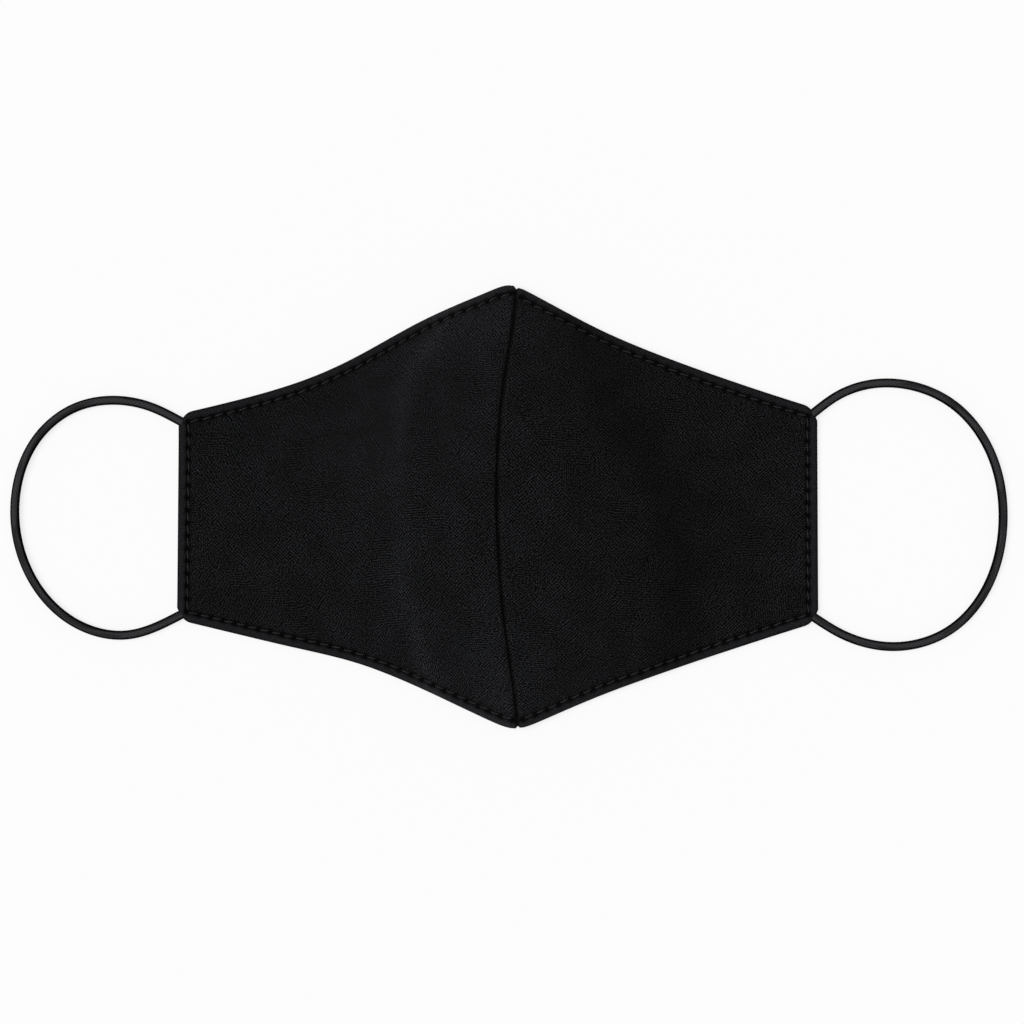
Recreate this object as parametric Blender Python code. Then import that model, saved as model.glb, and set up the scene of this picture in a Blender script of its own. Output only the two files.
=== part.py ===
"""Shaped cloth face mask with two elastic ear loops, lying face up on its rim.

Metres, +Z up. X runs across the face, +Y points to the nose edge, the rim rests on z = 0.
Each half of the mask is one padded cloth wall that runs from a side hem to the curved centre
seam; the two halves meet at the seam, which stands up as an arch and gives the mask its dome.
"""
import bmesh
import bpy
import numpy as np

MM = 0.001

# Cloth wall
WALL = 2.0 * MM
RIM_RADIUS = WALL / 2
SEAM_GAP = 0.32 * MM

# Side hems: half width of the mask at the chin end and at the nose end of each hem
LEFT_SIDE = (-105.3 * MM, -104.8 * MM)
RIGHT_SIDE = (105.3 * MM, 105.0 * MM)
CORNER_DROP = 4.0 * MM
CORNER_WIDTH = 4.8 * MM
CORNER_POWER = 2.6

# Long edges as (x, y) in mm, each carried on past the tip where the two halves are rounded off
NOSE_LEFT = ((-105.5, 30.5), (-82, 36.2), (-61, 42.8), (-45, 50.2), (-24, 61.5), (-3, 70.6), (12, 77.3))
NOSE_RIGHT = ((-4, 77.8), (12.8, 69.0), (33.8, 58.1), (54.8, 49.4), (76, 41.8), (105.5, 32.2))
CHIN_LEFT = ((-105.5, -36.8), (-66, -46.2), (-45, -51.5), (-24, -59.8), (-3, -69.6), (12, -76.4))
CHIN_RIGHT = ((-4, -77.8), (12.8, -70.5), (33.8, -61.6), (54.8, -54.0), (105.5, -37.5))
NOSE_ROUNDING = 1.4 * MM
CHIN_ROUNDING = 1.7 * MM

# Centre seam: share of the way from chin to nose, and x in mm
SEAM = ((0.0, 6.6), (0.11, 4.9), (0.21, 2.8), (0.37, 0.6), (0.6, 0.0), (0.76, 1.8), (0.88, 4.4), (1.0, 6.1))

# Dome
DOME_HEIGHT = 27.0 * MM
CREST = 0.55
ARCH_POWER = 2.15
FLAT_HEM = 0.07
LEFT_SHOULDER = ((0.0, 0.70), (1.0, 0.76))
RIGHT_SHOULDER = ((0.0, 0.50), (0.45, 0.50), (0.8, 0.66), (1.0, 0.80))
LEFT_SPREAD = 0.27
RIGHT_SPREAD = 0.34
SHOULDER_SHARE = 0.5
CREST_REACH = 1.04

# Ear loops: round elastic cord, route in mm from the upper corner of the hem to the lower one
CORD_DIAMETER = 3.0 * MM
LEFT_LOOP = ((-104.35, 28.4), (-114.2, 33.1), (-126.3, 35.2), (-138.7, 32.8), (-152.0, 21.7),
             (-158.1, 5.5), (-157.5, -11.4), (-150.8, -26.8), (-138.3, -38.2), (-122.1, -41.9),
             (-104.45, -35.45))
RIGHT_LOOP = ((103.9, 31.15), (111.8, 36.8), (120.5, 40.1), (130.2, 40.8), (149.3, 34.0),
              (162.1, 17.5), (166.0, -3.0), (162.0, -23.5), (149.2, -39.8), (129.9, -45.7),
              (112.0, -41.1), (104.25, -36.35))
LEFT_LOOP_POINTS = 27
RIGHT_LOOP_POINTS = 31

# Grid of each cloth wall: rows that form the rounded rim, then even steps
RIM_ROWS = (0.0, 0.15 * MM, 0.5 * MM, 1.0 * MM, 3.5 * MM)
COLUMNS = 24
ROWS = 24


def clear_scene():
    for item in list(bpy.data.objects):
        bpy.data.objects.remove(item, do_unlink=True)


def spline(points, at):
    """Natural cubic spline through (knot, value) pairs, read at the places `at`."""
    knots, values = np.array(points, float).T
    step = np.diff(knots)
    count = len(knots)
    matrix = np.eye(count)
    right = np.zeros(count)
    for i in range(1, count - 1):
        matrix[i, i - 1:i + 2] = step[i - 1], 2 * (step[i - 1] + step[i]), step[i]
        right[i] = 6 * ((values[i + 1] - values[i]) / step[i] - (values[i] - values[i - 1]) / step[i - 1])
    bend = np.linalg.solve(matrix, right)
    k = np.clip(np.searchsorted(knots, at) - 1, 0, count - 2)
    a = knots[k + 1] - at
    b = at - knots[k]
    cubic = (bend[k] * a**3 + bend[k + 1] * b**3) / (6 * step[k])
    line = (values[k] / step[k] - bend[k] * step[k] / 6) * a
    return cubic + line + (values[k + 1] / step[k] - bend[k + 1] * step[k] / 6) * b


def smoothstep(low, high, at):
    t = np.clip((at - low) / (high - low), 0, 1)
    return t * t * (3 - 2 * t)


def soft_min(a, b, width):
    return -width * np.logaddexp(-a / width, -b / width)


def corner_drop(x, side_x):
    """How far the rounded corner lies inside the straight long edge."""
    inset = np.clip(abs(side_x) - abs(x), 0, CORNER_WIDTH)
    return CORNER_DROP * (1 - inset / CORNER_WIDTH) ** CORNER_POWER


def nose_edge(x, side_x):
    left = spline(NOSE_LEFT, x / MM) * MM
    right = spline(NOSE_RIGHT, x / MM) * MM
    return soft_min(left, right, NOSE_ROUNDING) - corner_drop(x, side_x)


def chin_edge(x, side_x):
    left = -spline(CHIN_LEFT, x / MM) * MM
    right = -spline(CHIN_RIGHT, x / MM) * MM
    return corner_drop(x, side_x) - soft_min(left, right, CHIN_ROUNDING)


def plan(side, s, v):
    """Plan position of a point; s runs from the side hem to the seam, v from chin to nose."""
    ends = LEFT_SIDE if side < 0 else RIGHT_SIDE
    side_x = ends[0] * (1 - v) + ends[1] * v
    seam_x = spline(SEAM, v) * MM + side * SEAM_GAP / 2
    x = side_x * (1 - s) + seam_x * s
    y = chin_edge(x, ends[0]) * (1 - v) + nose_edge(x, ends[1]) * v
    return x, y


def dome(side, s, v):
    """Height of the underside: an arch along the seam times a soft shoulder towards the hem."""
    reach = np.where(v > CREST, 1 - CREST, CREST)
    arch = 1 - (abs(v - CREST) / reach) ** ARCH_POWER
    shoulder = spline(LEFT_SHOULDER if side < 0 else RIGHT_SHOULDER, v)
    spread = LEFT_SPREAD if side < 0 else RIGHT_SPREAD
    steep = smoothstep(shoulder - spread, shoulder + spread, s)
    steep = steep / smoothstep(shoulder - spread, shoulder + spread, 1.0)
    gentle = smoothstep(FLAT_HEM, CREST_REACH, s) / smoothstep(FLAT_HEM, CREST_REACH, 1.0)
    start = smoothstep(FLAT_HEM, 3 * FLAT_HEM, s)
    return DOME_HEIGHT * arch * start * (SHOULDER_SHARE * steep + (1 - SHOULDER_SHARE) * gentle)


def row_positions(length, count, both_ends):
    """Shares of a length: fine rows at the rounded rim, even steps in between."""
    rim = np.array(RIM_ROWS) / length
    far = 1 - rim[::-1] if both_ends else np.array([1.0])
    inner = np.linspace(rim[-1], far[0], count + 1)
    return np.concatenate([rim[:-1], inner, far[1:]])


def wall_grid(side):
    """Shares s and v of every grid point, with the rim rows a fixed distance from the edge."""
    width = abs(LEFT_SIDE[0])
    s = row_positions(width, COLUMNS, False)[:, None]
    x, low = plan(side, s, np.zeros((1, 1)))
    x, high = plan(side, s, np.ones((1, 1)))
    v = np.array([row_positions(length, ROWS, True) for length in (high - low)[:, 0]])
    return s + 0 * v, v


def rim_distance(side, x, y):
    """Plan distance of each point to the hemmed edges of this half."""
    fine = np.linspace(0, 1, 160)
    zero = 0 * fine
    runs = [plan(side, 1 - fine, zero), plan(side, zero, fine), plan(side, fine, zero + 1)]
    rim = np.concatenate([np.stack(run, -1) for run in runs])
    start, step = rim[:-1], np.diff(rim, axis=0)
    offset = np.stack([x, y], -1)[..., None, :] - start
    along = (offset * step).sum(-1) / np.maximum((step**2).sum(-1), 1e-18)
    gap = offset - np.clip(along, 0, 1)[..., None] * step
    return np.sqrt((gap**2).sum(-1)).min(-1)


def wall_surfaces(side):
    """Outer and inner skin of one half as grids of points; they meet along the rim."""
    s, v = wall_grid(side)
    x, y = plan(side, s, v)
    middle = np.stack([x, y, dome(side, s, v) + RIM_RADIUS], -1)
    across = np.gradient(middle, axis=0)
    along = np.gradient(middle, axis=1)
    normal = np.cross(across, along)
    seam_run = along[-1] / np.linalg.norm(along[-1], axis=-1, keepdims=True)
    normal[-1] = np.array([0, 0, 1]) - seam_run[:, 2:] * seam_run
    normal *= np.sign(normal[..., 2:])
    normal /= np.linalg.norm(normal, axis=-1, keepdims=True)
    inset = np.clip(rim_distance(side, x, y), 0, RIM_RADIUS)
    half = np.sqrt(RIM_RADIUS**2 - (RIM_RADIUS - inset) ** 2)
    half[0, :] = 0
    half[:, 0] = 0
    half[:, -1] = 0
    offset = normal * half[..., None]
    return middle + offset, middle - offset


def wall_faces(columns, rows):
    """Faces of the closed wall: outer skin, inner skin and the narrow face along the seam."""
    outer = np.arange(columns * rows).reshape(columns, rows)
    inner = outer.copy()
    inner[1:, 1:-1] += columns * rows
    faces = []
    for i in range(columns - 1):
        for j in range(rows - 1):
            for skin in (outer, inner):
                faces.append((skin[i, j], skin[i + 1, j], skin[i + 1, j + 1], skin[i, j + 1]))
    for j in range(rows - 1):
        faces.append((outer[-1, j], outer[-1, j + 1], inner[-1, j + 1], inner[-1, j]))
    return [tuple(dict.fromkeys(int(k) for k in face)) for face in faces]


def make_wall(name, side, material):
    outer, inner = wall_surfaces(side)
    columns, rows = outer.shape[:2]
    points = np.concatenate([outer.reshape(-1, 3), inner.reshape(-1, 3)])
    mesh = bpy.data.meshes.new(name)
    mesh.from_pydata(points.tolist(), [], wall_faces(columns, rows))
    shape = bmesh.new()
    shape.from_mesh(mesh)
    loose = [vertex for vertex in shape.verts if not vertex.link_faces]
    bmesh.ops.delete(shape, geom=loose, context="VERTS")
    bmesh.ops.recalc_face_normals(shape, faces=shape.faces)
    shape.to_mesh(mesh)
    shape.free()
    mesh.shade_smooth()
    mesh.materials.append(material)
    item = bpy.data.objects.new(name, mesh)
    bpy.context.collection.objects.link(item)
    return item


def cord_points(route, count):
    """Evenly shared points of a smooth curve through the route, resting on the surface."""
    route = np.array(route, float)
    run = np.concatenate([[0], np.cumsum(np.linalg.norm(np.diff(route, axis=0), axis=1))])
    at = np.linspace(0, run[-1], count)
    x = spline(np.stack([run, route[:, 0]], -1), at) * MM
    y = spline(np.stack([run, route[:, 1]], -1), at) * MM
    return np.stack([x, y, np.full(count, CORD_DIAMETER / 2)], -1)


def make_cord(name, route, count, material):
    curve = bpy.data.curves.new(name, "CURVE")
    curve.dimensions = "3D"
    curve.fill_mode = "FULL"
    curve.bevel_depth = CORD_DIAMETER / 2
    curve.bevel_resolution = 2
    curve.render_resolution_u = 0
    curve.use_fill_caps = True
    points = cord_points(route, count)
    line = curve.splines.new("POLY")
    line.points.add(count - 1)
    for point, place in zip(line.points, points):
        point.co = (*place.tolist(), 1)
    line.use_smooth = True
    curve.materials.append(material)
    item = bpy.data.objects.new(name, curve)
    bpy.context.collection.objects.link(item)
    return item


def principled(name, colour, roughness):
    material = bpy.data.materials.new(name)
    material.use_nodes = True
    shader = material.node_tree.nodes["Principled BSDF"]
    shader.inputs["Base Color"].default_value = (*colour, 1)
    shader.inputs["Roughness"].default_value = roughness
    shader.inputs["Metallic"].default_value = 0
    return material


def cloth_material(name):
    return principled(name, (0.012, 0.012, 0.014), 0.95)


def elastic_material(name):
    return principled(name, (0.016, 0.016, 0.018), 0.7)


def left_panel():
    return make_wall("left_panel", -1, cloth_material("left_panel_cloth"))


def right_panel():
    return make_wall("right_panel", 1, cloth_material("right_panel_cloth"))


def ear_loop_left():
    material = elastic_material("ear_loop_left_elastic")
    return make_cord("ear_loop_left", LEFT_LOOP, LEFT_LOOP_POINTS, material)


def ear_loop_right():
    material = elastic_material("ear_loop_right_elastic")
    return make_cord("ear_loop_right", RIGHT_LOOP, RIGHT_LOOP_POINTS, material)


clear_scene()
left_panel()
right_panel()
ear_loop_left()
ear_loop_right()
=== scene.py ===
"""Looks of a shaped cloth face mask: two cloth halves, topstitching and elastic ear loops.

Lengths inside the shape functions are millimetres; they become metres as a mesh is made.
X runs across the face, +Y points to the nose edge and the rim rests on z = 0.
"""

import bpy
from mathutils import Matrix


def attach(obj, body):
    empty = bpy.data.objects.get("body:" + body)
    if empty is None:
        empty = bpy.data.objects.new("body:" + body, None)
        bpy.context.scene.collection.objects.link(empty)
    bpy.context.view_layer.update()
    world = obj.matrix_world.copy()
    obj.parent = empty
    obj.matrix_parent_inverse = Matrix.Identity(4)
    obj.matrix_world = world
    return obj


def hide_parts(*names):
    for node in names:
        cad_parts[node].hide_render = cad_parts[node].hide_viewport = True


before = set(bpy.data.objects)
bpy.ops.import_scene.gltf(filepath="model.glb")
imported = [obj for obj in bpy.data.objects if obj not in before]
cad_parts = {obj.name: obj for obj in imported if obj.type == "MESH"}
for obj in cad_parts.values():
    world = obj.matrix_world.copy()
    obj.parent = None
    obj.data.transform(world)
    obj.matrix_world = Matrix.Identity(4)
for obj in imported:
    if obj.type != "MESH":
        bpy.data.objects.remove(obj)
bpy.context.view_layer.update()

import math

import bpy
import numpy as np
from bpy.props import FloatProperty, FloatVectorProperty, PointerProperty
from bpy.types import Operator, Panel, PropertyGroup

bl_info = {
    "name": "Cloth Face Mask",
    "version": (1, 0, 0),
    "blender": (4, 5, 0),
    "location": "3D View > Sidebar > Face Mask",
    "description": "Builds a shaped cloth face mask with topstitched hems and elastic ear loops",
    "category": "Add Mesh",
}

MM = 0.001
LEFT, RIGHT = -1, 1
SIDE_NAMES = {LEFT: "left", RIGHT: "right"}

# Side hems: x at the chin end and at the nose end
HEM_X = {LEFT: (-105.3, -104.8), RIGHT: (105.3, 105.0)}
CORNER_DROP = 4.0
CORNER_WIDTH = 4.8
CORNER_POWER = 2.6

# Long edges as (x, y), each carried on past the tip where the two halves are rounded off
NOSE_LEFT = ((-105.5, 30.5), (-82, 36.2), (-61, 42.8), (-45, 50.2), (-24, 61.5), (-3, 70.6), (12, 77.3))
NOSE_RIGHT = ((-4, 77.8), (12.8, 69.0), (33.8, 58.1), (54.8, 49.4), (76, 41.8), (105.5, 32.2))
CHIN_LEFT = ((-105.5, -36.8), (-66, -46.2), (-45, -51.5), (-24, -59.8), (-3, -69.6), (12, -76.4))
CHIN_RIGHT = ((-4, -77.8), (12.8, -70.5), (33.8, -61.6), (54.8, -54.0), (105.5, -37.5))
NOSE_ROUNDING = 1.4
CHIN_ROUNDING = 1.7
NOTCH_DEPTH = 0.6
NOTCH_WIDTH = 2.0
NOTCH_POWER = 2.6

# Centre seam: share of the way from chin to nose, and x
SEAM = ((0.0, 6.6), (0.11, 4.9), (0.21, 2.8), (0.37, 0.6), (0.6, 0.0), (0.76, 1.8), (0.88, 4.4), (1.0, 6.1))

# Dome
DOME_HEIGHT = 27.0
CREST = 0.55
ARCH_POWER = 2.15
FLAT_HEM = 0.07
SHOULDER = {LEFT: ((0.0, 0.70), (1.0, 0.76)), RIGHT: ((0.0, 0.50), (0.45, 0.50), (0.8, 0.66), (1.0, 0.80))}
SPREAD = {LEFT: 0.27, RIGHT: 0.34}
SHOULDER_SHARE = 0.5
CREST_REACH = 1.04

# Ear loops: route from the upper corner of the hem to the lower one
LOOP_ROUTE = {
    LEFT: ((-104.35, 28.4), (-114.2, 33.1), (-126.3, 35.2), (-138.7, 32.8), (-152.0, 21.7),
           (-158.1, 5.5), (-157.5, -11.4), (-150.8, -26.8), (-138.3, -38.2), (-122.1, -41.9),
           (-104.45, -35.45)),
    RIGHT: ((103.9, 31.15), (111.8, 36.8), (120.5, 40.1), (130.2, 40.8), (149.3, 34.0),
            (162.1, 17.5), (166.0, -3.0), (162.0, -23.5), (149.2, -39.8), (129.9, -45.7),
            (112.0, -41.1), (104.25, -36.35)),
}

# Stitch row and needle holes: how deep they press the padding, and where the first one is
ROW_PINCH = 0.50
HOLE_PINCH = 0.55
FIRST_STITCH = 1.6

# Plan width of a half and length of the seam, used to share out the grid and the seam's lean
HALF_WIDTH = 105.0
SEAM_LENGTH = 144

# Stage: floor reach and camera place in metres, angles in degrees, sensor in millimetres
FLOOR_REACH = 30.0
CAMERA_PLACE = (0.0047, -0.0015)
KEY_SPREAD = 40
KEY_BEARING = -4
SENSOR_WIDTH = 36

# Row spacing of the cloth grid next to a rim and next to the seam
RIM_STEPS = (0, 0.05, 0.18, 0.4, 0.7, 1.05, 1.45, 1.85, 2.2, 2.5, 2.8, 3.1, 3.4, 3.7, 4.0, 4.4, 4.9, 5.5)
SEAM_STEPS = (0, 0.04, 0.14, 0.3, 0.5, 0.75, 1.1, 1.5, 2.0, 2.6)
COLUMNS = 132
ROWS = 188


# ---------------------------------------------------------------- curves and plan

def spline(points, at):
    """Natural cubic spline through (knot, value) pairs, read at the places `at`."""
    knots, values = np.array(points, float).T
    step = np.diff(knots)
    count = len(knots)
    matrix = np.eye(count)
    right = np.zeros(count)
    for i in range(1, count - 1):
        matrix[i, i - 1:i + 2] = step[i - 1], 2 * (step[i - 1] + step[i]), step[i]
        right[i] = 6 * ((values[i + 1] - values[i]) / step[i] - (values[i] - values[i - 1]) / step[i - 1])
    bend = np.linalg.solve(matrix, right)
    k = np.clip(np.searchsorted(knots, at) - 1, 0, count - 2)
    a, b = knots[k + 1] - at, at - knots[k]
    cubic = (bend[k] * a**3 + bend[k + 1] * b**3) / (6 * step[k])
    line = (values[k] / step[k] - bend[k] * step[k] / 6) * a
    return cubic + line + (values[k + 1] / step[k] - bend[k + 1] * step[k] / 6) * b


def smoothstep(low, high, at):
    """0 below low and 1 above high, with a smooth cubic rise between: 3t^2 - 2t^3."""
    t = np.clip((at - low) / (high - low), 0, 1)
    return t * t * (3 - 2 * t)


def bell(distance, width):
    """Bell curve: 1 at no distance, falling to a third at one width."""
    return np.exp(-(distance / width) ** 2)


def soft_min(a, b, width):
    """The smaller of two values, rounded where they cross: a negative log of summed exponentials."""
    return -width * np.logaddexp(-a / width, -b / width)


def unit(vectors):
    """Vectors divided by their own length."""
    return vectors / np.maximum(np.linalg.norm(vectors, axis=-1, keepdims=True), 1e-12)


def long_edges(x):
    """Chin edge and nose edge over x, before the corners are rounded."""
    nose = soft_min(spline(NOSE_LEFT, x), spline(NOSE_RIGHT, x), NOSE_ROUNDING)
    chin = -soft_min(-spline(CHIN_LEFT, x), -spline(CHIN_RIGHT, x), CHIN_ROUNDING)
    return chin, nose


def rounded_edges(side, x):
    """Chin and nose edge of one half, with rounded hem corners and a small notch at the seam."""
    chin, nose = long_edges(x)
    drops = []
    for end in (0, 1):
        inset = np.clip(abs(HEM_X[side][end]) - side * x, 0, CORNER_WIDTH)
        corner = CORNER_DROP * (1 - inset / CORNER_WIDTH) ** CORNER_POWER
        from_seam = np.minimum(np.abs(x - SEAM[-end][1]), NOTCH_WIDTH)
        drops.append(corner + NOTCH_DEPTH * (1 - from_seam / NOTCH_WIDTH) ** NOTCH_POWER)
    return chin + drops[0], nose - drops[1]


def seam_x(v):
    """x of the centre seam at share v of the way from chin to nose."""
    return spline(SEAM, v)


def plan(side, s, v):
    """Plan position of a point; s runs from the side hem to the seam, v from chin to nose."""
    hem_x = HEM_X[side][0] * (1 - v) + HEM_X[side][1] * v
    x = hem_x * (1 - s) + seam_x(v) * s
    chin, nose = rounded_edges(side, x)
    return x, chin * (1 - v) + nose * v


def shares(side, x, y):
    """The inverse of plan: s and v of a plan position."""
    chin, nose = rounded_edges(side, x)
    v = (y - chin) / (nose - chin)
    inside = np.clip(v, 0, 1)
    hem_x = HEM_X[side][0] * (1 - inside) + HEM_X[side][1] * inside
    return (x - hem_x) / (seam_x(inside) - hem_x), v


# ---------------------------------------------------------------- dome and relief

def dome(side, s, v):
    """Height of the underside: an arch along the seam times a soft shoulder towards the hem."""
    inside = np.clip(v, 0, 1)
    reach = np.where(inside > CREST, 1 - CREST, CREST)
    arch = 1 - (abs(inside - CREST) / reach) ** ARCH_POWER
    middle, spread = spline(SHOULDER[side], inside), SPREAD[side]
    steep = smoothstep(middle - spread, middle + spread, s)
    steep = steep / smoothstep(middle - spread, middle + spread, 1.0)
    gentle = smoothstep(FLAT_HEM, CREST_REACH, s) / smoothstep(FLAT_HEM, CREST_REACH, 1.0)
    start = smoothstep(FLAT_HEM, 3 * FLAT_HEM, s)
    return DOME_HEIGHT * arch * start * (SHOULDER_SHARE * steep + (1 - SHOULDER_SHARE) * gentle)


def left_crease(y):
    """Line of the soft crease down the left half, bowed towards the side hem."""
    return -32 + 8 * ((y - 3) / 55) ** 2 + 5 * smoothstep(40, 62, y)


def right_crease(y):
    """Line of the slanting crease down the right half."""
    return 57 - 29 * smoothstep(-12, 58, y)


def soft_folds(side, x, y, s, v):
    """Small lasting folds of the cloth: a low ridge down each half and a few shallow dents.
    They fade out where the cloth comes down to lie flat."""
    raised = smoothstep(0, 4, dome(side, s, v))
    if side == LEFT:
        ridge = 1.25 * bell(x - left_crease(y) - 4.5, 5.5)
    else:
        ridge = 1.1 * bell(x - right_crease(y) + 7, 8.5)
    waves = 0.20 * np.sin(x / 9.5 + 0.6 * np.sin(y / 17)) * np.sin(y / 13 + 0.8)
    waves = waves + 0.12 * np.sin(x / 5.3 - y / 7.7 + 1.1) * np.sin(y / 11 - x / 21)
    return raised * (ridge * (1 - smoothstep(0.8, 1, s)) + waves)


def painted_light_and_shade(side, x, y):
    """How pale the cloth is painted, 0 to 1, as painted light and shade: painted highlight along the
    left crease and at both ends of the seam, painted shade in the hollow of the right crease and beyond it."""
    painted_lightness = 0.30 + 0.12 * bell(HALF_WIDTH - np.abs(x), 10)
    tips = 0.34 * bell(y - 68, 18) * bell(x - 2, 26) + 0.52 * bell(y + 64, 24) * bell(x, 23)
    if side == LEFT:
        off_crease = x - left_crease(y)
        strength = 0.24 + 0.34 * smoothstep(14, 46, np.abs(y))
        painted_lightness = painted_lightness + strength * bell(off_crease, 3.4) - 0.07 * bell(off_crease - 13, 7)
        painted_lightness = painted_lightness - 0.10 * (1 - smoothstep(-62, -34, x)) + 0.34 * bell(x + 11, 15) * bell(y - 58, 14)
    else:
        off_crease = x - right_crease(y)
        painted_lightness = painted_lightness - 0.25 * bell(off_crease, 8.5) - 0.09 * smoothstep(-4, 12, off_crease)
        # painted highlight on the rounded edge of the right half just beside the seam
        painted_lightness = painted_lightness + 0.12 * bell(x - seam_x(shares(side, x, y)[1]) - 1.7, 0.8)
    return np.clip(painted_lightness + tips, 0, 1)


def rim_lift(x, s, v):
    """The long edges don't lie quite flat: they lift a little off the table in slow waves."""
    along = smoothstep(0.12, 0.35, s)
    wave = 0.45 + 0.35 * np.sin(x / 11.0 + 1.7) + 0.2 * np.sin(x / 6.1 + 0.5)
    return 0.8 * along * wave * (bell(v, 0.12) + bell(1 - v, 0.12))


def underside(side, x, y):
    """Height of the cloth's underside over plan position (x, y)."""
    s, v = shares(side, x, y)
    return dome(side, s, v) + soft_folds(side, x, y, s, v) + rim_lift(x, s, v)


def cloth_normals(side, x, y, from_seam):
    """Unit normals from height differences; at the seam both halves share the one that stands
    in the upright plane along it, so their edges meet."""
    step = 0.25
    slope_x = (underside(side, x + step * side, y) - underside(side, x, y)) / (step * side)
    slope_y = (underside(side, x, y + step) - underside(side, x, y - step)) / (2 * step)
    normal = np.stack([-slope_x, -slope_y, np.ones_like(x)], -1)
    v = np.clip(shares(side, x, y)[1], 0, 1)
    lean = (seam_x(v + 0.005) - seam_x(v - 0.005)) / (0.01 * SEAM_LENGTH)
    across = unit(np.stack([np.ones_like(x), -lean, np.zeros_like(x)], -1))
    share = (1 - smoothstep(0, 3.5, from_seam))[..., None]
    normal = normal - share * across * (normal * across).sum(-1, keepdims=True)
    return unit(normal)


# ---------------------------------------------------------------- distances

def run_lengths(path):
    """Length walked along a path up to each of its points."""
    return np.concatenate([[0], np.cumsum(np.linalg.norm(np.diff(path, axis=0), axis=1))])


def nearest_on(path, x, y):
    """Distance of each point to a polyline, and how far along it the nearest place is."""
    start, step = path[:-1], np.diff(path, axis=0)
    size = np.maximum((step**2).sum(-1), 1e-12)
    runs = run_lengths(path)
    gaps, places = [], []
    for block in np.array_split(np.stack([x.ravel(), y.ravel()], -1), 24):
        offset = block[:, None, :] - start
        share = np.clip((offset * step).sum(-1) / size, 0, 1)
        gap = np.linalg.norm(offset - share[..., None] * step, axis=-1)
        best = gap.argmin(1)
        row = np.arange(len(block))
        gaps.append(gap[row, best])
        places.append(runs[best] + share[row, best] * np.sqrt(size[best]))
    return np.concatenate(gaps).reshape(x.shape), np.concatenate(places).reshape(x.shape)


def rim_path(side):
    """The hemmed outline of one half: chin edge from the seam, side hem, nose edge to the seam."""
    even = np.linspace(0, 1, 90)
    fine = 1 - (1 - even) ** 1.6
    zero = 0 * even
    runs = [plan(side, 1 - fine, zero), plan(side, zero, even), plan(side, 1 - fine[::-1], zero + 1)]
    return np.concatenate([np.stack(run, -1) for run in runs])


def stitch_runs(side, inset, start):
    """Three straight-run topstitch lines a fixed inset inside the hem edges, meeting in corners."""
    lines = []
    corners = []
    for end, sign in ((0, 1), (1, -1)):
        corner_x = HEM_X[side][end] - side * inset
        seam_end = SEAM[-end][1] + side * start
        x = np.linspace(seam_end, corner_x, 120)
        y = long_edges(x)[end]
        slope = np.gradient(y, x)
        y = y + sign * inset * np.sqrt(1 + slope**2)
        lines.append(np.stack([x, y], -1))
        corners.append(lines[-1][-1])
    hem = np.array(corners[0]) + np.linspace(0, 1, 60)[:, None] * (corners[1] - corners[0])
    return [lines[0], hem, lines[1][::-1]]


def even_places(path, pitch):
    """Points on a path, evenly spaced as near the pitch as fits, both ends included."""
    runs = run_lengths(path)
    count = max(2, int(round(runs[-1] / pitch)) + 1)
    at = np.linspace(0, runs[-1], count)
    return np.stack([np.interp(at, runs, path[:, i]) for i in range(2)], -1)


# ---------------------------------------------------------------- cloth skins

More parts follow.
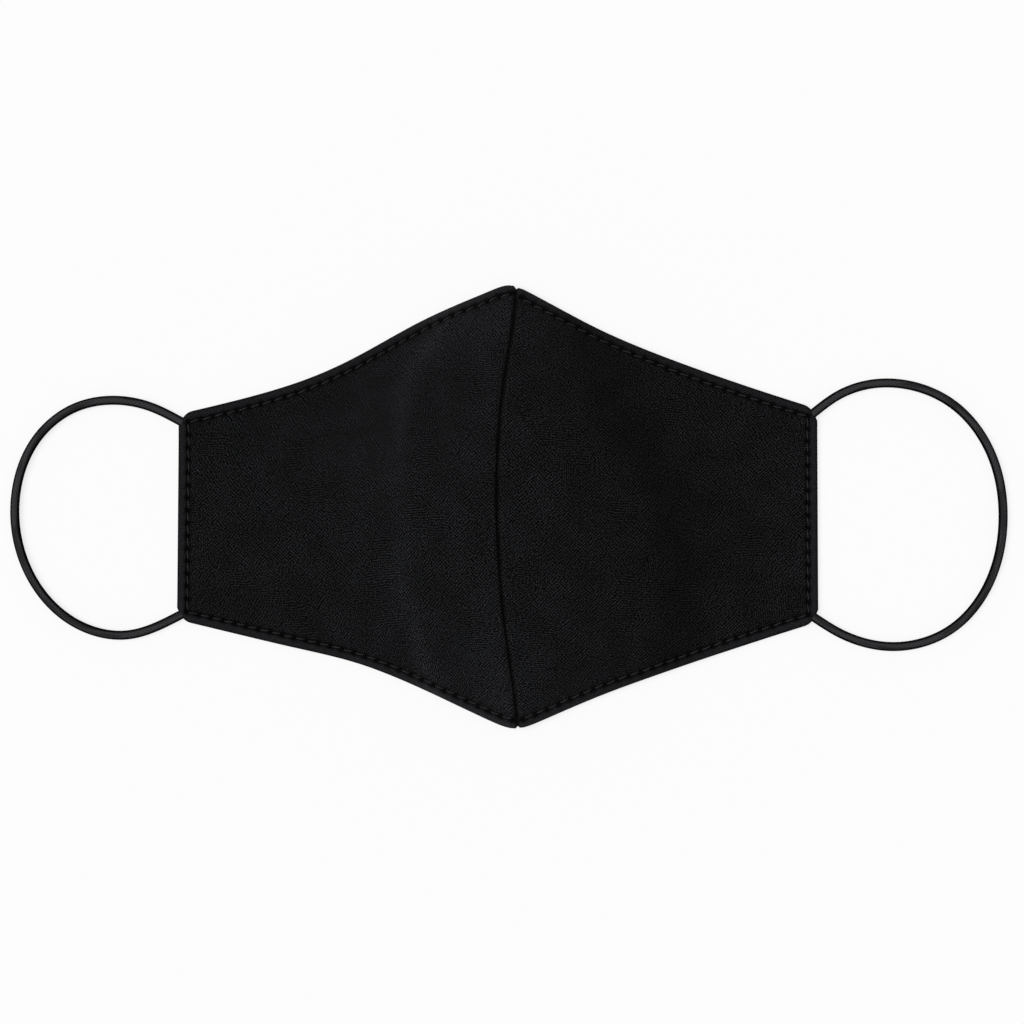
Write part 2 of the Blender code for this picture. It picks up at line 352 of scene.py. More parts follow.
def cloth_facts(side, x, y, sizes, rim, holes, stitch_line):
    """Everything that shapes the cloth at a plan position: half thickness, lift and masks."""
    inset, _ = nearest_on(rim, x, y)
    off_line, along = nearest_on(stitch_line, x, y)
    apart = np.linalg.norm(np.stack([x, y], -1)[..., None, :] - holes, axis=-1).min(-1)
    s, v = shares(side, x, y)
    from_seam = np.abs(x - seam_x(np.clip(v, 0, 1)))
    hem = 1 - smoothstep(sizes.hem - 0.3, sizes.hem + 1.6, inset)
    pucker = np.cos(2 * np.pi * along / sizes.pitch + 0.9 * np.sin(along / 7.3))
    pucker = pucker * (0.6 + 0.4 * np.sin(along / 9.1 + side))
    body = sizes.body + (sizes.puff - sizes.body) * hem
    ends = [LOOP_ROUTE[side][0], LOOP_ROUTE[side][-1]]
    bulge = sum(0.62 * bell(np.hypot(x - a + side * 1.2, y - b), 4.2) for a, b in ends)
    envelope = body + bulge
    rounded = np.sqrt(np.clip(envelope**2 - np.clip(envelope - inset, 0, None) ** 2, 0, None))
    rounded[inset < 1e-6] = 0
    pinch = sizes.pinch * bell(off_line, 0.65) * smoothstep(0.0, 1.6, from_seam)
    pinch = pinch + sizes.hole * bell(apart, 0.70)
    quilt = 0.10 * pucker * bell(off_line, 2.2) * smoothstep(0.4, 1.6, inset)
    half = rounded - (pinch - quilt) * smoothstep(0.3, 1.4, inset)
    roll = sizes.roll
    bite = roll - np.sqrt(np.clip(roll**2 - np.clip(roll - from_seam, 0, None) ** 2, 0, None))
    beads = 1 + 0.18 * np.sin(y / 0.62 + 0.7 * np.sin(y / 2.3)) * bell(from_seam, 0.9)
    puff = 0.22 * bell(from_seam - 1.7, 1.1) * smoothstep(0, 3, inset)
    half = half - np.minimum(bite * beads, np.maximum(half - 0.12, 0)) + puff
    half = np.where(inset < 1e-6, 0, np.maximum(half, 0))
    # painted shade: darker in the needle holes, along the stitch row, at the rim and in the seam groove
    shade = 1.4 * bell(apart, 1.0) + 0.8 * bell(off_line, 0.75) + 0.6 * bell(inset, 0.35)
    shade = np.clip(shade + 1.2 * bell(from_seam, 0.6 + 0.12 * np.sin(y / 2.9)), 0, 1)
    # painted highlight: the raised hem strip between rim and stitch row is lightened, more towards the chin
    # edge
    painted_crown_light = hem * smoothstep(0.2, 1.0, inset) * (1 - bell(off_line, 0.9))
    painted_crown_light = painted_crown_light * (0.72 + 0.28 * smoothstep(8, 46, -y))
    return half, envelope, from_seam, shade, painted_crown_light


def cloth_middle(side, x, y, envelope, from_seam):
    """Mid surface of the padded cloth, and its normals."""
    normal = cloth_normals(side, x, y, from_seam)
    return np.stack([x, y, underside(side, x, y) + envelope], -1), normal


def half_lines(side, sizes):
    """The rim, the needle holes and the topstitch line of one half."""
    runs = stitch_runs(side, sizes.hem, sizes.first)
    rows = [even_places(run, sizes.pitch) for run in runs]
    return rim_path(side), rows, np.concatenate(runs)


def stepped(length, near, far, count):
    """Places along a length: the near steps, even steps between, and the far steps mirrored."""
    near, far = np.array(near, float), np.array(far, float)[::-1]
    middle = np.linspace(near[-1], length - far[0], count + 1)
    return np.concatenate([near[:-1], middle, (length - far)[1:]]) / length


def cloth_grid(side):
    """Shares s and v of the grid points, with lines at fixed distances from rim and seam."""
    s = stepped(HALF_WIDTH, RIM_STEPS, SEAM_STEPS, COLUMNS)
    tops = [plan(side, s, np.full_like(s, end)) for end in (0.0, 1.0)]
    v = []
    chin_slope, nose_slope = (np.gradient(long_edges(x)[i], x) for i, (x, _) in enumerate(tops))
    for low, high, a, b in zip(tops[0][1], tops[1][1], chin_slope, nose_slope):
        near = np.array(RIM_STEPS) * math.hypot(1, a)
        far = np.array(RIM_STEPS) * math.hypot(1, b)
        v.append(stepped(high - low, near, far, ROWS))
    v = np.array(v)
    v[-1] = seam_rows()
    return np.repeat(s[:, None], v.shape[1], 1), v


def seam_rows():
    """Rows at the seam, the same for both halves."""
    ends = [rounded_edges(LEFT, np.array([SEAM[-i][1]]))[i][0] for i in (0, 1)]
    return stepped(ends[1] - ends[0], RIM_STEPS, RIM_STEPS, ROWS)


def shell_faces(columns, rows):
    """Faces of a closed cloth wall: outer skin, inner skin and the narrow face along the seam.
    Corner numbers count through both skins, which share their points along the rim."""
    outer = np.arange(columns * rows).reshape(columns, rows)
    inner = outer.copy()
    inner[1:, 1:-1] += columns * rows
    quads = [np.stack([g[:-1, :-1], g[1:, :-1], g[1:, 1:], g[:-1, 1:]], -1) for g in (outer, inner)]
    quads[1] = quads[1][..., ::-1]
    seam = np.stack([outer[-1, :-1], inner[-1, :-1], inner[-1, 1:], outer[-1, 1:]], -1)
    return np.concatenate([quads[0].reshape(-1, 4), quads[1].reshape(-1, 4)]), seam


def surface_lengths(points):
    """Length walked over the surface along each grid direction, as the weave's own coordinates."""
    across = np.linalg.norm(np.diff(points, axis=0), axis=-1)
    along = np.linalg.norm(np.diff(points, axis=1), axis=-1)
    u = np.zeros(points.shape[:2])
    w = np.zeros(points.shape[:2])
    u[1:] = np.cumsum(across, 0)
    w[:, 1:] = np.cumsum(along, 1)
    middle = w.shape[1] // 2
    return u, w - w[:, middle:middle + 1]


def new_mesh(name, points, faces, material, uv=None, masks=None):
    """A mesh object in metres at the origin, from whole arrays of points and faces."""
    used, renumber = np.unique(np.concatenate([np.ravel(f) for f in faces]), return_inverse=True)
    lists, at = [], 0
    for block in faces:
        count = block.size
        lists.append(renumber[at:at + count].reshape(block.shape))
        at += count
    corners = [list(dict.fromkeys(face)) for block in lists for face in block.tolist()]
    mesh = bpy.data.meshes.new(name)
    mesh.from_pydata((points[used] * MM).tolist(), [], corners)
    mesh.validate()
    mesh.shade_smooth()
    loops = np.zeros(len(mesh.loops), np.int64)
    mesh.loops.foreach_get("vertex_index", loops)
    if uv is not None:
        layer = mesh.uv_layers.new(name="weave")
        layer.data.foreach_set("uv", (uv[used] * MM)[loops].astype(np.float32).ravel())
    for mask, values in (masks or {}).items():
        attribute = mesh.attributes.new(mask, "FLOAT", "POINT")
        attribute.data.foreach_set("value", values[used].astype(np.float32))
    mesh.materials.append(material)
    piece = bpy.data.objects.new(name, mesh)
    bpy.context.collection.objects.link(piece)
    return piece


def make_cloth(side, settings, material):
    sizes = cloth_sizes(settings)
    rim, rows, line = half_lines(side, sizes)
    s, v = cloth_grid(side)
    x, y = plan(side, s, v)
    facts = cloth_facts(side, x, y, sizes, rim, np.concatenate(rows), line)
    half, envelope, from_seam, shade, painted_crown_light = facts
    half[0] = 0
    half[:, 0] = 0
    half[:, -1] = 0
    middle, normal = cloth_middle(side, x, y, envelope, from_seam)
    outer = middle + normal * half[..., None]
    inner = middle - normal * half[..., None]
    inner[..., 2] = np.maximum(inner[..., 2], 0)  # the underside rests on the table
    quads, seam = shell_faces(*s.shape)
    if side == RIGHT:
        quads, seam = quads[:, ::-1], seam[:, ::-1]
    u, w = surface_lengths(middle)
    uv = np.stack([side * (u[-1:] - u) + 400, w + 400], -1).reshape(-1, 2)
    # point masks: painted shade, painted highlight on the hem, and painted light and shade over the halves
    masks = {"shade": shade, "painted_crown_light": painted_crown_light, "painted_light_and_shade": painted_light_and_shade(side, x, y)}
    masks = {mask: np.tile(values.ravel(), 2) for mask, values in masks.items()}
    points = np.concatenate([outer.reshape(-1, 3), inner.reshape(-1, 3)])
    name = f"cloth_{SIDE_NAMES[side]}"
    return new_mesh(name, points, [quads, seam], material, np.tile(uv, (2, 1)), masks)


# ---------------------------------------------------------------- threads and cords

def sweep(centres, up, radius, sides):
    """Points of a round tube: a circle of the given radius carried square to each path."""
    ahead = unit(np.gradient(centres, axis=-2))
    across = unit(np.cross(up, ahead))
    top = np.cross(ahead, across)
    turn = np.linspace(0, 2 * np.pi, sides, endpoint=False)
    ring = np.cos(turn)[:, None] * across[..., None, :] + np.sin(turn)[:, None] * top[..., None, :]
    return centres[..., None, :] + ring * np.asarray(radius)[..., None, None]


def tube_faces(rings, sides):
    """Faces of one tube with a point at the middle of each end."""
    grid = np.arange(rings * sides).reshape(rings, sides)
    turned = np.roll(grid, -1, axis=1)
    walls = np.stack([grid[:-1], turned[:-1], turned[1:], grid[1:]], -1).reshape(-1, 4)
    first, last = rings * sides, rings * sides + 1
    start = np.stack([turned[0], grid[0], np.full(sides, first)], -1)
    finish = np.stack([grid[-1], turned[-1], np.full(sides, last)], -1)
    return walls, np.concatenate([start, finish])


def make_tubes(name, centres, up, radius, sides, material):
    """One mesh of many like tubes; centres has the shape (tubes, rings, 3). Each point knows how
    far along its tube it is, and its cosine and sine around it."""
    tubes, rings = centres.shape[:2]
    walls, caps = tube_faces(rings, sides)
    skin = sweep(centres, up, np.broadcast_to(radius, (tubes, rings)), sides)
    ends = np.stack([centres[:, 0], centres[:, -1]], 1)
    points = np.concatenate([skin.reshape(tubes, -1, 3), ends], 1)
    shift = (np.arange(tubes) * points.shape[1])[:, None, None]
    run = np.array([run_lengths(path) for path in centres])
    turn = np.arange(sides) / sides * 2 * np.pi
    facts = np.stack(np.broadcast_arrays(run[..., None], np.cos(turn), np.sin(turn)), -1)
    end_facts = np.stack([run[:, [0, -1]], np.zeros((tubes, 2)), np.zeros((tubes, 2))], -1)
    facts = np.concatenate([facts.reshape(tubes, -1, 3), end_facts], 1).reshape(-1, 3)
    masks = dict(zip(("run", "beside", "above"), facts.T))
    faces = [(walls + shift).reshape(-1, 4), (caps + shift).reshape(-1, 3)]
    return new_mesh(name, points.reshape(-1, 3), faces, material, facts[:, :2], masks)


def stitch_paths(side, settings):
    """Centrelines of the topstitches on the outer and the inner face, with their normals.
    Each one dips into its two needle holes and bows up between them."""
    sizes = cloth_sizes(settings)
    rim, rows, line = half_lines(side, sizes)
    starts = np.concatenate([row[:-1] for row in rows])
    ends = np.concatenate([row[1:] for row in rows])
    t = np.linspace(0.15, 0.85, 9)[None, :, None]
    place = starts[:, None] * (1 - t) + ends[:, None] * t
    sway = 0.06 * np.sin(np.arange(len(starts)) * 2.4)[:, None, None] * np.sin(np.pi * t)
    sway = sway + settings.thread.slant / MM * (t - 0.5)
    across = unit(np.stack([starts[:, 1] - ends[:, 1], ends[:, 0] - starts[:, 0]], -1))
    place = place + across[:, None] * sway
    x, y = place[..., 0], place[..., 1]
    facts = cloth_facts(side, x, y, sizes, rim, np.concatenate(rows), line)
    half, envelope, from_seam = facts[:3]
    middle, normal = cloth_middle(side, x, y, envelope, from_seam)
    bow = (1 - np.abs(2 * t[..., 0] - 1) ** 2.4) * 0.95 - 0.80
    level = (half + settings.thread.thickness / MM * bow)[..., None]
    return middle, normal, level


def make_stitches(side, settings, material):
    middle, normal, level = stitch_paths(side, settings)
    centres = np.concatenate([middle + normal * level, middle - normal * level])
    up = np.concatenate([normal, normal])
    radius = settings.thread.thickness / MM / 2
    return make_tubes(f"topstitch_{SIDE_NAMES[side]}", centres, up, radius, 8, material)


def loop_centres(side, settings):
    """Centreline of an ear loop: evenly shared points of a smooth curve through its route,
    carried a little way into the hem at both ends."""
    route = np.array(LOOP_ROUTE[side], float)
    runs = run_lengths(route)
    tuck = settings.loops.tuck / MM
    at = np.linspace(0, runs[-1], 400)
    path = np.stack([spline(np.stack([runs, route[:, i]], -1), at) for i in range(2)], -1)
    first, last = unit(path[0] - path[1]), unit(path[-1] - path[-2])
    path = np.concatenate([[path[0] + tuck * first], path, [path[-1] + tuck * last]])
    even = run_lengths(path)
    at = np.linspace(0, even[-1], 230)
    x, y = (np.interp(at, even, path[:, i]) for i in range(2))
    radius = settings.loops.diameter / MM / 2
    lift = 0.28 * (bell(at, 5) + bell(even[-1] - at, 5))
    return np.stack([x, y, radius + lift], -1)


def make_loop(side, settings, material):
    centres = loop_centres(side, settings)
    radius = settings.loops.diameter / MM / 2
    up = np.broadcast_to(np.array([0.0, 0.0, 1.0]), centres[None].shape)
    name = f"elastic_{SIDE_NAMES[side]}"
    piece = make_tubes(name, centres[None], up, radius, 28, material)
    return piece, centres * MM


# ---------------------------------------------------------------- materials

class Term:
    """A shader value that can be written in sums, differences and products."""

    def __init__(self, maker, socket):
        self.maker = maker
        self.socket = socket

    def _math(self, operation, *others):
        inputs = dict(enumerate([self, *others]))
        return self.maker.node("ShaderNodeMath", {"operation": operation}, inputs)

    def __add__(self, other):
        return self._math("ADD", other)

    __radd__ = __add__

    def __mul__(self, other):
        return self._math("MULTIPLY", other)

    __rmul__ = __mul__

    def __sub__(self, other):
        return self._math("SUBTRACT", other)

    def __rsub__(self, other):
        return (self * -1) + other

    def sine(self):
        return self._math("SINE")

    def angle_over(self, other):
        return self._math("ARCTAN2", other)

    def larger(self, other):
        return self._math("MAXIMUM", other)

    def ramp(self, low, high):
        """0 below low, 1 above high, smooth between."""
        settings = {"interpolation_type": "SMOOTHSTEP"}
        inputs = {"Value": self, "From Min": low, "From Max": high}
        return self.maker.node("ShaderNodeMapRange", settings, inputs)


class Finish:
    """A material under construction, with one method that adds any node."""

    def __init__(self, name, colour, roughness, specular):
        self.material = bpy.data.materials.new(name)
        self.material.use_nodes = True
        self.tree = self.material.node_tree
        self.shader = self.tree.nodes["Principled BSDF"]
        self.shader.inputs["Base Color"].default_value = (*colour, 1)
        self.shader.inputs["Roughness"].default_value = roughness
        self.shader.inputs["Specular IOR Level"].default_value = specular

    def node(self, kind, settings=None, inputs=None, output=0):
        made = self.tree.nodes.new(kind)
        for key, value in (settings or {}).items():
            setattr(made, key, value)
        for key, value in (inputs or {}).items():
            if isinstance(value, Term):
                self.tree.links.new(value.socket, made.inputs[key])
            else:
                made.inputs[key].default_value = value
        return Term(self, made.outputs[output])

    def feed(self, name, term):
        self.tree.links.new(term.socket, self.shader.inputs[name])

    def weave_place(self):
        """The piece's own surface coordinates, in millimetres."""
        place = self.node("ShaderNodeUVMap", {"uv_map": "weave"})
        return self.node("ShaderNodeVectorMath", {"operation": "SCALE"}, {0: place, "Scale": 1 / MM})

    def noise(self, place, scale, detail=2.0, output=0, dimensions="2D"):
        settings = {"noise_dimensions": dimensions}
        inputs = {"Vector": place, "Scale": scale, "Detail": detail}
        return self.node("ShaderNodeTexNoise", settings, inputs, output)

    def tube_place(self):
        """Millimetres along a tube, the angle around it, and both as a place for noise."""
        run, beside, above = (self.attribute(name) for name in ("run", "beside", "above"))
        place = self.node("ShaderNodeCombineXYZ", {}, {"X": run, "Y": beside, "Z": above})
        return run, above.angle_over(beside), place

    def parts(self, place):
        split = self.node("ShaderNodeSeparateXYZ", {}, {0: place})
        outputs = split.socket.node.outputs
        return [Term(self, outputs[i]) for i in range(2)]

    def shifted(self, place, scale, reach):
        """Place moved about by soft noise, so that a pattern wanders as cloth does."""
        colour = self.noise(place, scale, 1.0, output=1)
        centred = self.node("ShaderNodeVectorMath", {"operation": "SUBTRACT"},
                            {0: colour, 1: (0.5, 0.5, 0.5)})
        moved = self.node("ShaderNodeVectorMath", {"operation": "SCALE"}, {0: centred, "Scale": reach})
        return self.node("ShaderNodeVectorMath", {"operation": "ADD"}, {0: place, 1: moved})

    def scaled(self, colour, factor):
        return self.node("ShaderNodeVectorMath", {"operation": "SCALE"}, {0: colour, "Scale": factor})

    def mix(self, share, first, second):
        settings = {"data_type": "RGBA"}
        inputs = {0: share, 6: first, 7: second}
        return self.node("ShaderNodeMix", settings, inputs, output=2)

    def attribute(self, name):
        settings = {"attribute_type": "GEOMETRY", "attribute_name": name}
        return self.node("ShaderNodeAttribute", settings, {}, output=2)

    def bump(self, height, strength, distance):
        inputs = {"Strength": strength, "Distance": distance, "Height": height}
        self.feed("Normal", self.node("ShaderNodeBump", {}, inputs))


def tint(colour, factor):
    return (*(c * factor for c in colour), 1)


def cloth_finish(settings):
    """Near-black matte cotton: a fine uneven weave, in places drawn into rows, with pale lint; painted
    light and shade on top.
    """
    cloth = settings.cloth
    base = tuple(cloth.colour)
    finish = Finish("mask_cloth", base, 0.8, 0.05)
    finish.shader.inputs["Sheen Weight"].default_value = cloth.fuzz
    finish.shader.inputs["Sheen Roughness"].default_value = 0.3
    place = finish.weave_place()
    wander = finish.shifted(place, 0.22, 1.1)
    close = finish.shifted(wander, 0.8, 0.36)
    across, along = finish.parts(close)
    turn = 2 * math.pi / (cloth.weave / MM)
    checks = (across * turn).sine() * (along * turn).sine()
    wide, high = finish.parts(wander)
    rows = (high * (turn * 1.42)).sine() * 0.52
    ribs = (wide * (turn * 1.42)).sine() * 0.45
    drawn = finish.noise(place, 0.06, 1.0).ramp(0.55, 0.70)
    ribbed = finish.noise(place, 0.05, 1.0, dimensions="3D").ramp(0.60, 0.74)
    threads = checks * (1 - drawn) + rows * drawn
    threads = threads * (1 - ribbed) + ribs * ribbed
    grain = finish.noise(close, 2.3, 0.5)
    height = threads * 0.43 + grain * 1.4 - 0.20
    speck = finish.noise(place, 2.3, 0.0).ramp(0.70, 0.80)
    tone = height.ramp(0.28, 1.00)
    patches = finish.noise(place, 0.09, 1.0)
    fabric = finish.mix(tone, tint(base, 0.0), tint(base, 3.5))
    fabric = finish.scaled(fabric, patches.ramp(0.3, 0.7) * 0.26 + 0.87)
    lumps = finish.noise(place, 1.1, 1.0).ramp(0.4, 0.6)
    # painted highlight on the raised hem strip, patchy
    fabric = finish.mix(finish.attribute("painted_crown_light") * (0.56 + lumps * 0.44), fabric, tint(base, 2.8))
    fabric = finish.mix(speck * 0.34, fabric, tint(base, 4.6))
    # painted light and shade: colour lightened along the left crease and at the seam ends, darkened in the
    # right crease
    fabric = finish.scaled(fabric, finish.attribute("painted_light_and_shade") + 0.7)
    # painted shade in the needle holes, along the stitch row, at the rim and in the seam groove
    fabric = finish.mix(finish.attribute("shade") * 0.92, fabric, tint(base, 0.05))
    finish.feed("Base Color", fabric)
    finish.feed("Roughness", 0.95 - tone * 0.2)
    finish.bump(height, 0.55, 0.00022)
    return finish.material


def thread_finish(settings):
    """Spun polyester thread: two plies twisted together, a little shinier than the cloth."""
    thread = settings.thread
    base = tuple(thread.colour)
    finish = Finish("sewing_thread", base, 0.5, 0.15)
    run, angle, _ = finish.tube_place()
    twist = (run * (2 * math.pi / 0.7) + angle).sine()
    tone = twist.ramp(-0.8, 0.6)
    finish.feed("Base Color", finish.mix(tone, tint(base, 0.45), tint(base, 1.3)))
    finish.bump(tone, 0.5, 0.00006)
    return finish.material


def elastic_finish(settings):
    """Round elastic: a tight braided sheath with a satin face and faint stretch bands; its top painted
    lighter as a highlight and its sides painted dark as shade.
    """
    loops = settings.loops
    base = tuple(loops.colour)
    finish = Finish("elastic_cord", base, 0.6, 0.03)
    run, angle, around = finish.tube_place()
    one = (run * (2 * math.pi / 1.5) + angle * 8).sine()
    other = (run * (2 * math.pi / 1.5) - angle * 8).sine()
    braid = one.larger(other)
    tone = braid.ramp(-0.4, 0.95)
    stretched = finish.node("ShaderNodeMapping", {}, {"Vector": around, "Scale": (0.09, 1.6, 1.6)})
    streaks = finish.noise(stretched, 1.0, 1.0, dimensions="3D")
    colour = finish.mix(tone, tint(base, 0.75), tint(base, 1.2))
    colour = finish.mix(streaks.ramp(0.48, 0.57) * 0.8, colour, tint(base, 0.45))
    # painted highlight along the top of the cord and painted shade down its sides
    painted_crown_light = finish.attribute("above").ramp(0.69, 0.93)
    colour = finish.scaled(colour, painted_crown_light * 1.12 + 0.05)
    finish.feed("Base Color", colour)
    finish.feed("Roughness", 0.62 - tone * 0.16)
    finish.bump(braid, 0.4, 0.0001)
    return finish.material


def floor_light(stage):
    """Brightness of the open floor under the surround and the key light."""
    return (stage.fill + stage.key * math.sin(stage.key_height)) * stage.floor_colour[0]


def floor_finish(settings):
    """Plain pale matte floor. Seen directly it is partly lit from within, so shadows stay faint; to
    the light that bounces off it, it is a darker grey, so little comes back to the mask."""
    stage = settings.stage
    finish = Finish("pale_floor", tuple(stage.floor_colour), 0.9, 0.0)
    matte = Term(finish, finish.shader.outputs[0])
    glow = finish.node("ShaderNodeEmission", {}, {"Color": (1, 1, 1, 1), "Strength": floor_light(stage)})
    seen = finish.node("ShaderNodeMixShader", {}, {0: stage.floor_glow, 1: matte, 2: glow})
    dim = finish.node("ShaderNodeBsdfDiffuse", {}, {"Color": (*stage.bounce_colour, 1)})
    ray = finish.node("ShaderNodeLightPath")
    either = finish.node("ShaderNodeMixShader", {}, {0: ray, 1: dim, 2: seen})
    output = finish.tree.nodes["Material Output"]
    finish.tree.links.new(either.socket, output.inputs["Surface"])
    return finish.material


# ---------------------------------------------------------------- settings

class ClothSettings(PropertyGroup):
    colour: FloatVectorProperty(
        name="Cloth colour", description="Dye colour of the cotton", subtype="COLOR",
        size=3, min=0, max=1, default=(0.0045, 0.0046, 0.0051))
    body: FloatProperty(
        name="Cloth thickness", description="Thickness of the sewn layers", unit="LENGTH",
        default=0.002, min=0.001, max=0.004)
    puff: FloatProperty(
        name="Hem thickness", description="Thickness of the turned hem", unit="LENGTH",
        default=0.0025, min=0.001, max=0.005)
    roll: FloatProperty(
        name="Seam roll", description="Radius of the cloth's roll into the centre seam",
        unit="LENGTH", default=0.0008, min=0.0002, max=0.002)
    fuzz: FloatProperty(
        name="Fuzz", description="How much the cotton's fine nap catches a low light",
        default=0.035, min=0, max=1)
    weave: FloatProperty(
        name="Weave pitch", description="Distance between like threads", unit="LENGTH",
        default=0.00115, min=0.0003, max=0.005)


class ThreadSettings(PropertyGroup):
    colour: FloatVectorProperty(
        name="Thread colour", description="Colour of the sewing thread", subtype="COLOR",
        size=3, min=0, max=1, default=(0.0155, 0.0155, 0.0170))
    pitch: FloatProperty(
        name="Stitch length", description="Distance between needle holes", unit="LENGTH",
        default=0.0041, min=0.002, max=0.008)
    inset: FloatProperty(
        name="Stitch inset", description="Distance of the topstitching from the edge",
        unit="LENGTH", default=0.0034, min=0.002, max=0.01)
    thickness: FloatProperty(
        name="Thread thickness", description="Diameter of the sewing thread", unit="LENGTH",
        default=0.00044, min=0.0002, max=0.001)
    slant: FloatProperty(
        name="Stitch slant", description="How far a stitch leans across its row", unit="LENGTH",
        default=0.00045, min=-0.001, max=0.001)


class LoopSettings(PropertyGroup):
    colour: FloatVectorProperty(
        name="Elastic colour", description="Colour of the braided sheath", subtype="COLOR",
        size=3, min=0, max=1, default=(0.024, 0.024, 0.026))
    diameter: FloatProperty(
        name="Elastic diameter", description="Diameter of the round elastic", unit="LENGTH",
        default=0.003, min=0.001, max=0.006)
    tuck: FloatProperty(
        name="Tuck", description="How far the ends go into the hem beyond its corner",
        unit="LENGTH", default=0.002, min=0, max=0.01)


class StageSettings(PropertyGroup):
    floor_colour: FloatVectorProperty(
        name="Floor colour", description="Colour of the pale floor", subtype="COLOR",
        size=3, min=0, max=1, default=(0.86, 0.86, 0.86))
    floor_glow: FloatProperty(
        name="Floor glow", description="Share of the floor's brightness that no shadow dims",
        default=0.78, min=0, max=1)
    bounce_colour: FloatVectorProperty(
        name="Bounce colour", description="Light that the floor throws back at the mask",
        subtype="COLOR", size=3, min=0, max=1, default=(0.3, 0.3, 0.3))
    key: FloatProperty(
        name="Key light", description="Strength of the soft light from the left", default=0.725, min=0)
    fill: FloatProperty(
        name="Surround light", description="Strength of the even light all round", default=0.50, min=0)
    key_height: FloatProperty(
        name="Key height", description="Angle of the key light above the floor",
        subtype="ANGLE", default=math.radians(62), min=0.1, max=1.57)
    lens: FloatProperty(
        name="Lens", description="Focal length in millimetres", default=100, min=20)
    frame_width: FloatProperty(
        name="Picture width", description="Width of the view at the mask", unit="LENGTH",
        default=0.3365, min=0.1)


class MaskSettings(PropertyGroup):
    cloth: PointerProperty(type=ClothSettings, name="Cloth")
    thread: PointerProperty(type=ThreadSettings, name="Thread")
    loops: PointerProperty(type=LoopSettings, name="Ear loops")
    stage: PointerProperty(type=StageSettings, name="Stage")


class Sizes:
    """Cloth and stitch sizes in millimetres."""


def cloth_sizes(settings):
    sizes = Sizes()
    sizes.body = settings.cloth.body / MM / 2
    sizes.puff = settings.cloth.puff / MM / 2
    sizes.roll = settings.cloth.roll / MM
    sizes.hem = settings.thread.inset / MM
    sizes.pitch = settings.thread.pitch / MM
    sizes.pinch = ROW_PINCH
    sizes.hole = HOLE_PINCH
    sizes.first = FIRST_STITCH
    return sizes


# ---------------------------------------------------------------- operators

def settle(piece):
    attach(piece, "root")
    return piece


class FACEMASK_OT_add_topstitching(Operator):
    """Sew the row of topstitches inside the hems of both halves"""
    bl_idname = "facemask.add_topstitching"
    bl_label = "Add Topstitching"

    def execute(self, context):
        settings = context.scene.face_mask
        material = thread_finish(settings)
        for side in (LEFT, RIGHT):
            settle(make_stitches(side, settings, material))
        return {"FINISHED"}


class FACEMASK_OT_add_cloth(Operator):
    """Build both domed cloth halves, with hems, needle holes and the centre seam's groove"""
    bl_idname = "facemask.add_cloth"
    bl_label = "Add Cloth Halves"

    def execute(self, context):
        settings = context.scene.face_mask
        material = cloth_finish(settings)
        for side in (LEFT, RIGHT):
            name = SIDE_NAMES[side]
            piece = settle(make_cloth(side, settings, material))
            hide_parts(f"{name}_panel")
        return {"FINISHED"}


class FACEMASK_OT_add_ear_loops(Operator):
    """Lay the two round elastic ear loops, with their ends tucked into the hem corners"""
    bl_idname = "facemask.add_ear_loops"
    bl_label = "Add Ear Loops"

    def execute(self, context):
        settings = context.scene.face_mask
        material = elastic_finish(settings)
        for side in (LEFT, RIGHT):
            piece, path = make_loop(side, settings, material)
            settle(piece)
            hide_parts(f"ear_loop_{SIDE_NAMES[side]}")
        return {"FINISHED"}


class FACEMASK_OT_add_stage(Operator):
    """Set up the pale floor, the soft studio light and the camera above the mask"""
    bl_idname = "facemask.add_stage"
    bl_label = "Add Stage"

    def execute(self, context):
        settings = context.scene.face_mask
        add_floor(settings)
        add_lights(context, settings)
        add_camera(context, settings)
        return {"FINISHED"}


def add_floor(settings):
    """A flat square floor, wide enough to reach the horizon in a low view."""
    reach = FLOOR_REACH / MM
    corners = np.array([[-1, -1, 0], [1, -1, 0], [1, 1, 0], [-1, 1, 0]]) * reach
    floor = new_mesh("floor", corners, [np.array([[0, 1, 2, 3]])], floor_finish(settings))


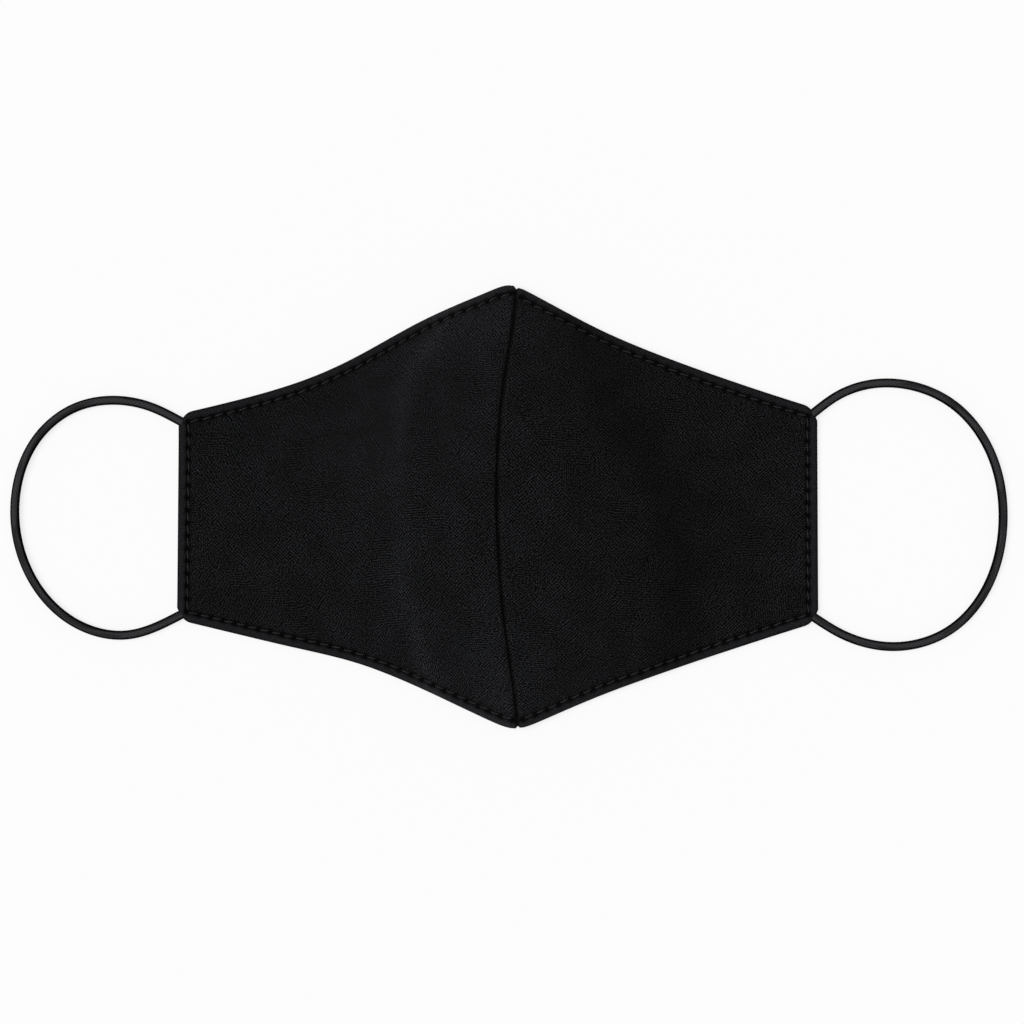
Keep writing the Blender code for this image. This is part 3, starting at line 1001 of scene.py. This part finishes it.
def add_lights(context, settings):
    """An even pale surround, seen a little brighter than it lights, and one broad high light from the
    left."""
    stage = settings.stage
    world = bpy.data.worlds.new("surround")
    world.use_nodes = True
    background = world.node_tree.nodes["Background"]
    background.inputs["Color"].default_value = (1, 1, 1, 1)
    background.inputs["Strength"].default_value = stage.fill
    tree = world.node_tree
    seen = tree.nodes.new("ShaderNodeBackground")
    ray = tree.nodes.new("ShaderNodeLightPath")
    either = tree.nodes.new("ShaderNodeMixShader")
    tree.links.new(ray.outputs["Is Camera Ray"], either.inputs[0])
    tree.links.new(background.outputs[0], either.inputs[1])
    tree.links.new(seen.outputs[0], either.inputs[2])
    tree.links.new(either.outputs[0], tree.nodes["World Output"].inputs["Surface"])
    seen.inputs["Color"].default_value = (1, 1, 1, 1)
    seen.inputs["Strength"].default_value = floor_light(stage)
    context.scene.world = world
    sun = bpy.data.lights.new("key_light", "SUN")
    sun.energy = stage.key * math.pi
    sun.angle = math.radians(KEY_SPREAD)
    key = bpy.data.objects.new("key_light", sun)
    key.rotation_euler = (0, -(math.pi / 2 - stage.key_height), math.radians(KEY_BEARING))
    context.collection.objects.link(key)
    context.scene.view_settings.view_transform = "Standard"


def add_camera(context, settings):
    """Straight above the mask, its picture a little right of and below the mask's middle."""
    stage = settings.stage
    lens = bpy.data.cameras.new("view")
    lens.lens = stage.lens
    lens.sensor_width = SENSOR_WIDTH
    lens.clip_start = 0.01
    lens.clip_end = 200
    camera = bpy.data.objects.new("view", lens)
    height = stage.frame_width * stage.lens / lens.sensor_width + 0.001
    camera.location = (*CAMERA_PLACE, height)
    context.collection.objects.link(camera)
    context.scene.camera = camera


class FACEMASK_PT_sidebar(Panel):
    """Face mask pieces and stage"""
    bl_idname = "FACEMASK_PT_sidebar"
    bl_label = "Face Mask"
    bl_space_type = "VIEW_3D"
    bl_region_type = "UI"
    bl_category = "Face Mask"

    def draw(self, context):
        settings = context.scene.face_mask
        for group in (settings.cloth, settings.thread, settings.loops, settings.stage):
            box = self.layout.box()
            for name in group.__annotations__:
                box.prop(group, name)
        for operator in OPERATORS:
            self.layout.operator(operator.bl_idname)


OPERATORS = (
    FACEMASK_OT_add_topstitching,
    FACEMASK_OT_add_cloth,
    FACEMASK_OT_add_ear_loops,
    FACEMASK_OT_add_stage,
)
CLASSES = (
    ClothSettings,
    ThreadSettings,
    LoopSettings,
    StageSettings,
    MaskSettings,
    *OPERATORS,
    FACEMASK_PT_sidebar,
)


def register():
    for cls in CLASSES:
        bpy.utils.register_class(cls)
    bpy.types.Scene.face_mask = PointerProperty(type=MaskSettings)


def unregister():
    del bpy.types.Scene.face_mask
    for cls in reversed(CLASSES):
        bpy.utils.unregister_class(cls)


def main():
    register()
    bpy.ops.facemask.add_topstitching()
    bpy.ops.facemask.add_cloth()
    bpy.ops.facemask.add_ear_loops()
    bpy.ops.facemask.add_stage()


if __name__ == "__main__":
    main()
